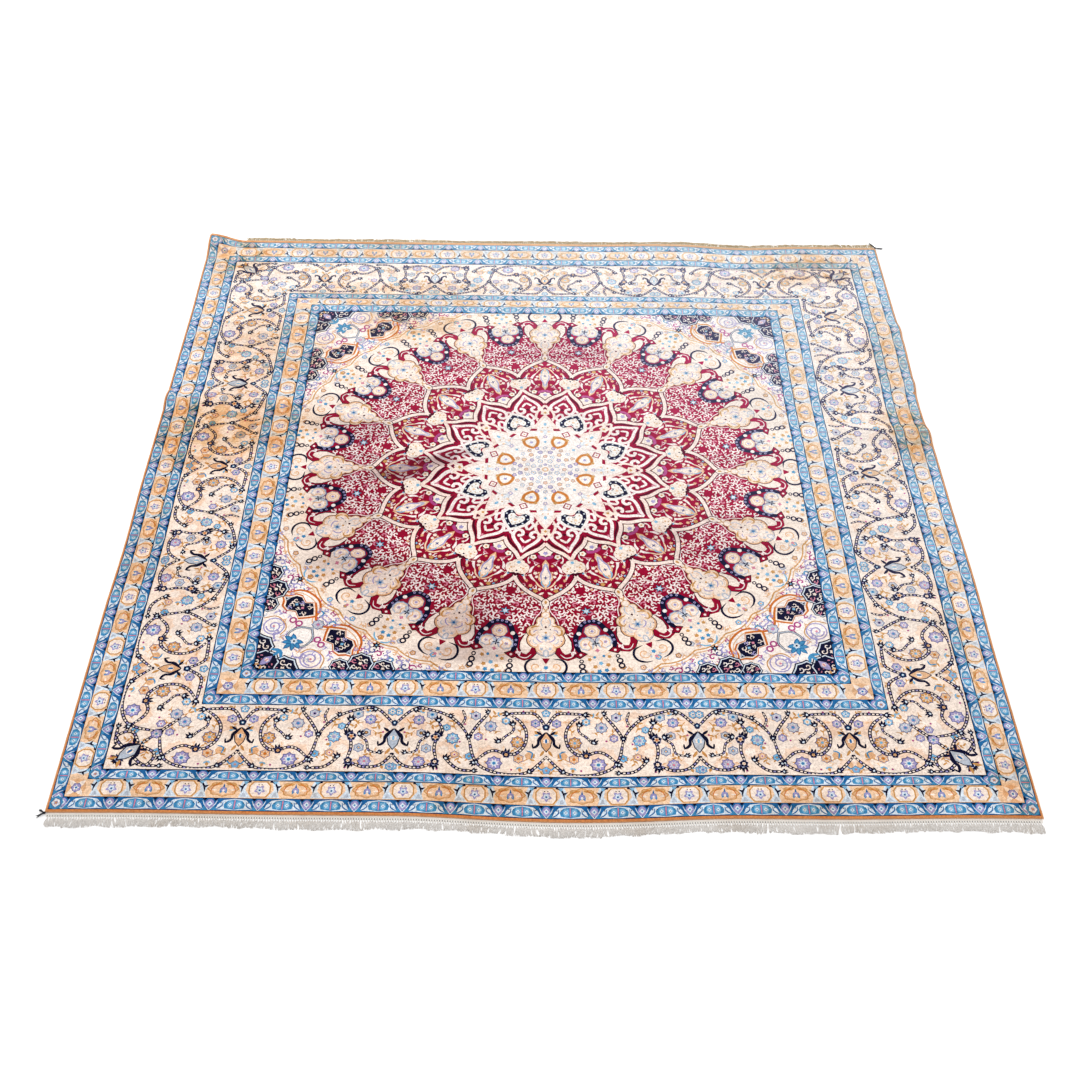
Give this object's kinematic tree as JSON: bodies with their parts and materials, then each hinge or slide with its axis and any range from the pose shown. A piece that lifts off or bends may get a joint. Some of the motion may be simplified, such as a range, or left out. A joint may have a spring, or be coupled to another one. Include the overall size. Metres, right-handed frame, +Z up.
{
  "type": "persian rug",
  "caption": "Square knotted medallion rug lying flat, with overcast side cords, flat-woven ends, knotted fringes and small corner ties.",
  "frame": {"origin": "bottom centre of the whole rug's box, on the floor", "axes": "+X along the near fringed end, +Y from the near end to the far end, +Z up out of the pile"},
  "size_m": [2.551, 2.5998, 0.0388],
  "materials": {
    "pile": "knotted silky wool pile in crimson, ivory, ochre and blue",
    "side_cord": "overcast orange-tan wool",
    "cotton_web": "flat-woven cotton",
    "cotton_fringe": "knotted grey-white cotton warps",
    "far_fringe_yarn": "matted, stained warp ends",
    "dark_yarn": "dark yarn tufts"
  },
  "bodies": {
    "root": {"knotted_carpet": "pile", "side_cord_left": "side_cord", "side_cord_right": "side_cord", "near_end_web": "cotton_web", "far_end_web": "cotton_web", "near_fringe": "cotton_fringe", "far_fringe": "far_fringe_yarn", "corner_tie_near_left": "dark_yarn", "corner_tie_far_right": "dark_yarn"}
  },
  "joints": []
}
